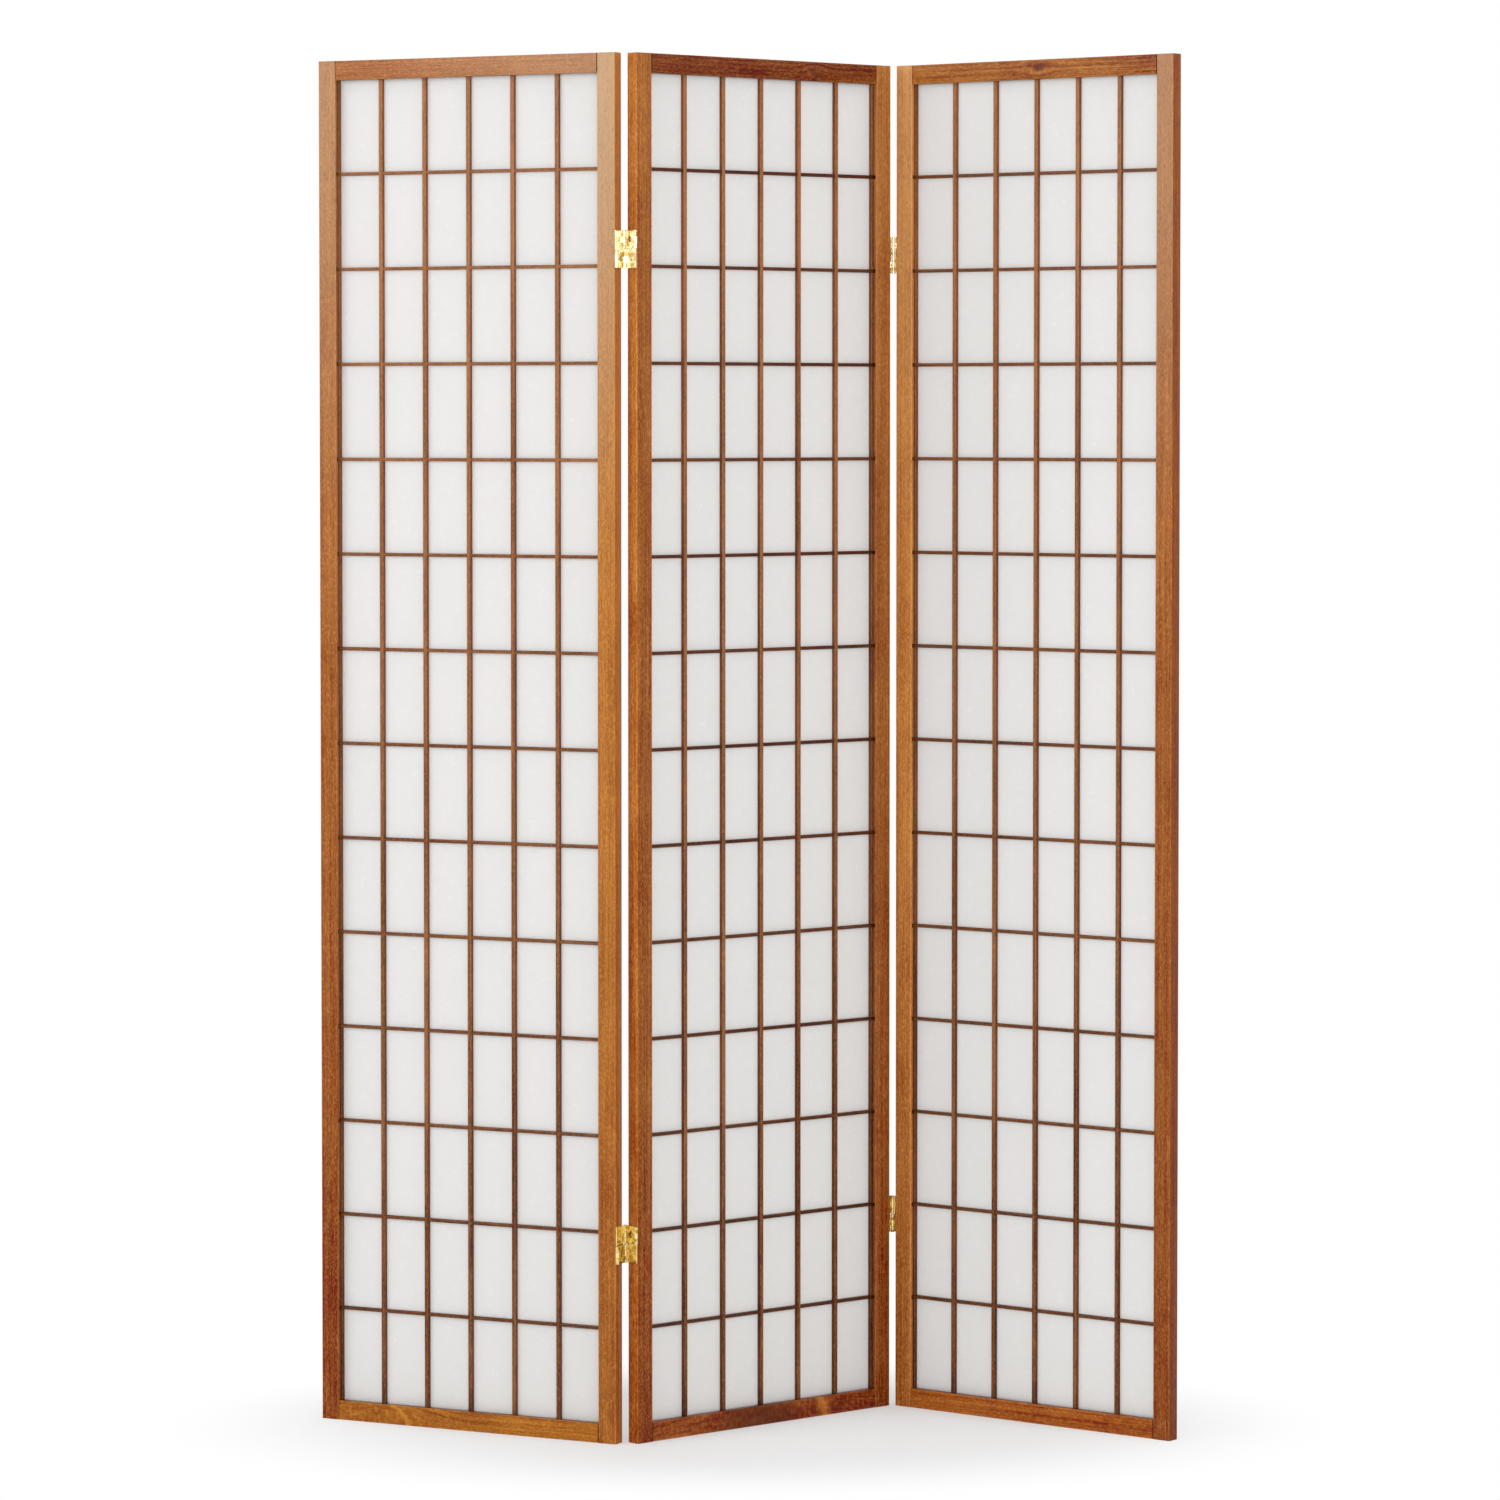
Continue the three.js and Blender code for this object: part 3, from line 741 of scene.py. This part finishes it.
fibre_paper.links.new(calc(fibre_paper, "MULTIPLY_ADD", strand, 0.8, pulp), made["Relief"])
fibre_paper.links.new(calc(fibre_paper, "MULTIPLY_ADD", strand, -0.12, 0.86),
                      made["Roughness"])

for seed, panel in enumerate(panels, start=1):
    sheet, tree = new_material(f"{panel} sheet of fibre paper")
    paper = use_group(tree, fibre_paper, Seed=seed * 1.0,
                      Place=timber_place(tree, panel, (0, 0, 0), "up"))
    finish_surface(tree, paper, 0.12, 0.3 * mm, {
        "Subsurface Weight": 0.6, "Subsurface Radius": (1, 1, 1),
        "Subsurface Scale": 4 * mm, "Specular IOR Level": 0.15},
        subsurface_method="RANDOM_WALK")
    dress_node(f"{panel}_panel_paper", sheet)

# ---------------------------------------------------------------------------
# Retaining beads
# Slim chamfered beads in the stiles' rabbets behind the paper, pinned in
# after it, of the same stained softwood.
# ---------------------------------------------------------------------------
bead_across, bead_deep = 23.1 * mm, 16.8 * mm
bead_half = (2.4 * mm, 2.2 * mm, 10)
beads = [(panel, side) for panel in panels for side in ("left", "right")]
for seed, (panel, side) in enumerate(beads):
    across = bead_across if side == "left" else panel_width - bead_across
    stain, tree = new_material(f"{panel} {side} bead stain")
    finish_timber(tree, timber_place(tree, panel, (across, bead_deep, 0), "up"),
                  31 + seed * 1.9, frame_pale, frame_deep, 0.4, bead_half, 0.2, Figure=0.9)
    dress_node(f"{panel}_panel_{side}_bead", stain)
    ease(f"{panel}_panel_{side}_bead")

# ---------------------------------------------------------------------------
# Hinge leaves, webs and pins
# Two-way screen hinges of stamped brass, polished and lacquered. Each half has
# a web between two pins, so that a fold opens both ways.
# ---------------------------------------------------------------------------
brass_wear, given, made = new_group(
    "handled brass", [("Seed", "value"), ("Bright", "colour"), ("Dull", "colour")],
    [("Color", "colour"), ("Roughness", "value"), ("Relief", "value")])
spot = seeded_place(brass_wear, add_node(brass_wear, "ShaderNodeTexCoord").outputs["Object"],
                    (2.1, 4.3, 1.7), given["Seed"])
tarnish = noise(brass_wear, spot, (170, 170, 130), detail=4.0, roughness=0.7)
drawn = noise(brass_wear, spot, (90, 90, 2600), detail=2.0)
pits = noise(brass_wear, spot, (1900, 1900, 1900), detail=1.0)
dulled = ramp(brass_wear, tarnish, 0.46, 0.62)
brass_wear.links.new(mix_colour(brass_wear, dulled, given["Bright"], given["Dull"]),
                     made["Color"])
brass_rough = calc(brass_wear, "MULTIPLY_ADD", dulled, 0.17, 0.17)
brass_rough = calc(brass_wear, "MULTIPLY_ADD", about_zero(brass_wear, drawn), 0.14,
                   brass_rough)
brass_wear.links.new(brass_rough, made["Roughness"])
pitted = calc(brass_wear, "MULTIPLY", ramp(brass_wear, pits, 0.62, 0.75), -0.8)
brass_wear.links.new(calc(brass_wear, "MULTIPLY_ADD", drawn, 0.6, pitted), made["Relief"])


def brass(name, seed, bright, dull):
    metal, tree = new_material(name)
    worn = use_group(tree, brass_wear, Seed=seed, Bright=(*bright, 1), Dull=(*dull, 1))
    finish_surface(tree, worn, 0.25, 0.08 * mm, {"Metallic": 1.0})
    return metal


# The upper hinges' leaves and webs are painted paler than the lower ones: a painted highlight
# for a lamp's reflection.
leaf_brass_with_painted_highlight = {
    "top": brass("upper leaf brass, painted highlight", 5.0, (1.0, 0.97, 0.82), (0.90, 0.76, 0.42)),
    "bottom": brass("lower leaf brass", 1.0, (1.0, 0.82, 0.36), (0.74, 0.52, 0.17))}
# Painted shade: the webs are deeper than the leaves, for the dark gaps between the hinge's
# halves.
web_brass_with_painted_shade = {
    "top": brass("upper web brass, painted shade", 4.0, (0.95, 0.84, 0.52), (0.50, 0.31, 0.09)),
    "bottom": brass("lower web brass, painted shade", 6.0, (0.86, 0.65, 0.24), (0.36, 0.20, 0.04))}
pin_brass = brass("pin brass", 2.0, (0.42, 0.25, 0.07), (0.12, 0.06, 0.012))
screw_brass = brass("screw brass", 3.0, (0.92, 0.76, 0.42), (0.50, 0.33, 0.11))

for node_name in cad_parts:
    if "_hinge_" in node_name:
        level = "top" if "_top_" in node_name else "bottom"
        kind = node_name.split("_")[-1]
        dress_node(node_name, pin_brass if kind == "pin"
                   else web_brass_with_painted_shade[level] if kind == "web" else leaf_brass_with_painted_highlight[level])
        ease(node_name)

# ---------------------------------------------------------------------------
# Hinge screws
# Four brass wood screws to a hinge, two through each leaf into the stile's
# edge, with low domed heads and cross recesses.
# ---------------------------------------------------------------------------
# Distances out of the stile's edge and radii, in millimetres, from the point to the head.
screw_profile = [(-10.8, 0.25), (-9.4, 0.95), (0.35, 1.05), (1.42, 2.05), (1.52, 2.75),
                 (1.72, 2.80), (1.98, 2.30), (2.14, 1.75)]
head_top = 2.20
recess_arm, recess_web, recess_depth, recess_taper = 1.45, 0.42, 0.55, 0.8
turn_steps = 32


def screw_rings():
    """Rings from the point of the shank, over the head and down into its recess."""
    rings = [[(out, radius)] * turn_steps for out, radius in screw_profile]
    arm_steps = turn_steps // 4
    cross = [recess_arm if step % arm_steps in (0, 1, arm_steps - 1) else recess_web
             for step in range(turn_steps)]
    rings.append([(head_top, radius) for radius in cross])
    rings.append([(head_top - recess_depth, radius * recess_taper) for radius in cross])
    return rings


def screw_into(body, outwards, head_at, spin):
    """Adds one screw whose head faces outwards (1 or -1 along the panel's x)."""
    rings = []
    for ring in screw_rings():
        rings.append([])
        for step, (out, radius) in enumerate(ring):
            angle = 2 * math.pi * step / turn_steps + spin
            rings[-1].append(body.verts.new(
                (head_at[0] + outwards * out * mm,
                 head_at[1] + radius * mm * math.cos(angle),
                 head_at[2] + radius * mm * math.sin(angle))))
    for lower, upper in zip(rings, rings[1:]):
        for i in range(turn_steps):
            j = (i + 1) % turn_steps
            body.faces.new((lower[i], lower[j], upper[j], upper[i]))
    body.faces.new(list(reversed(rings[0])))
    body.faces.new(rings[-1])


# the leaves on each panel's edges, with the fold that each belongs to
leaf_edges = [("left", "right", "left_fold"), ("middle", "left", "left_fold"),
              ("middle", "right", "right_fold"), ("right", "left", "right_fold")]
hinge_middles = {"top": 1539 * mm, "bottom": 258 * mm}
screw_from_middle = 12.4 * mm
# How far each cross recess is turned, in the order in which the screws are made.
spins = iter([0.35, 1.10, 0.72, 0.15, 0.95, 0.48, 1.32, 0.60,
              0.22, 0.85, 1.21, 0.05, 0.66, 1.02, 0.40, 1.43])
for panel, edge, fold in leaf_edges:
    outwards = 1 if edge == "right" else -1
    edge_at = panel_width if edge == "right" else 0
    for level, middle in hinge_middles.items():
        pair = bmesh.new()
        for rise in (screw_from_middle, -screw_from_middle):
            screw_into(pair, outwards, (edge_at, frame_depth / 2, middle + rise), next(spins))
        bmesh.ops.recalc_face_normals(pair, faces=pair.faces)
        name = f"{fold}_{level}_hinge_{panel}_screws"
        mesh = bpy.data.meshes.new(name)
        pair.to_mesh(mesh)
        pair.free()
        mesh.transform(panels[panel])
        mesh.polygons.foreach_set("use_smooth", [True] * len(mesh.polygons))
        mesh.set_sharp_from_angle(angle=math.radians(40))
        mesh.materials.append(screw_brass)
        screws = add_object(name, mesh)
        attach(screws, f"{panel}_panel")
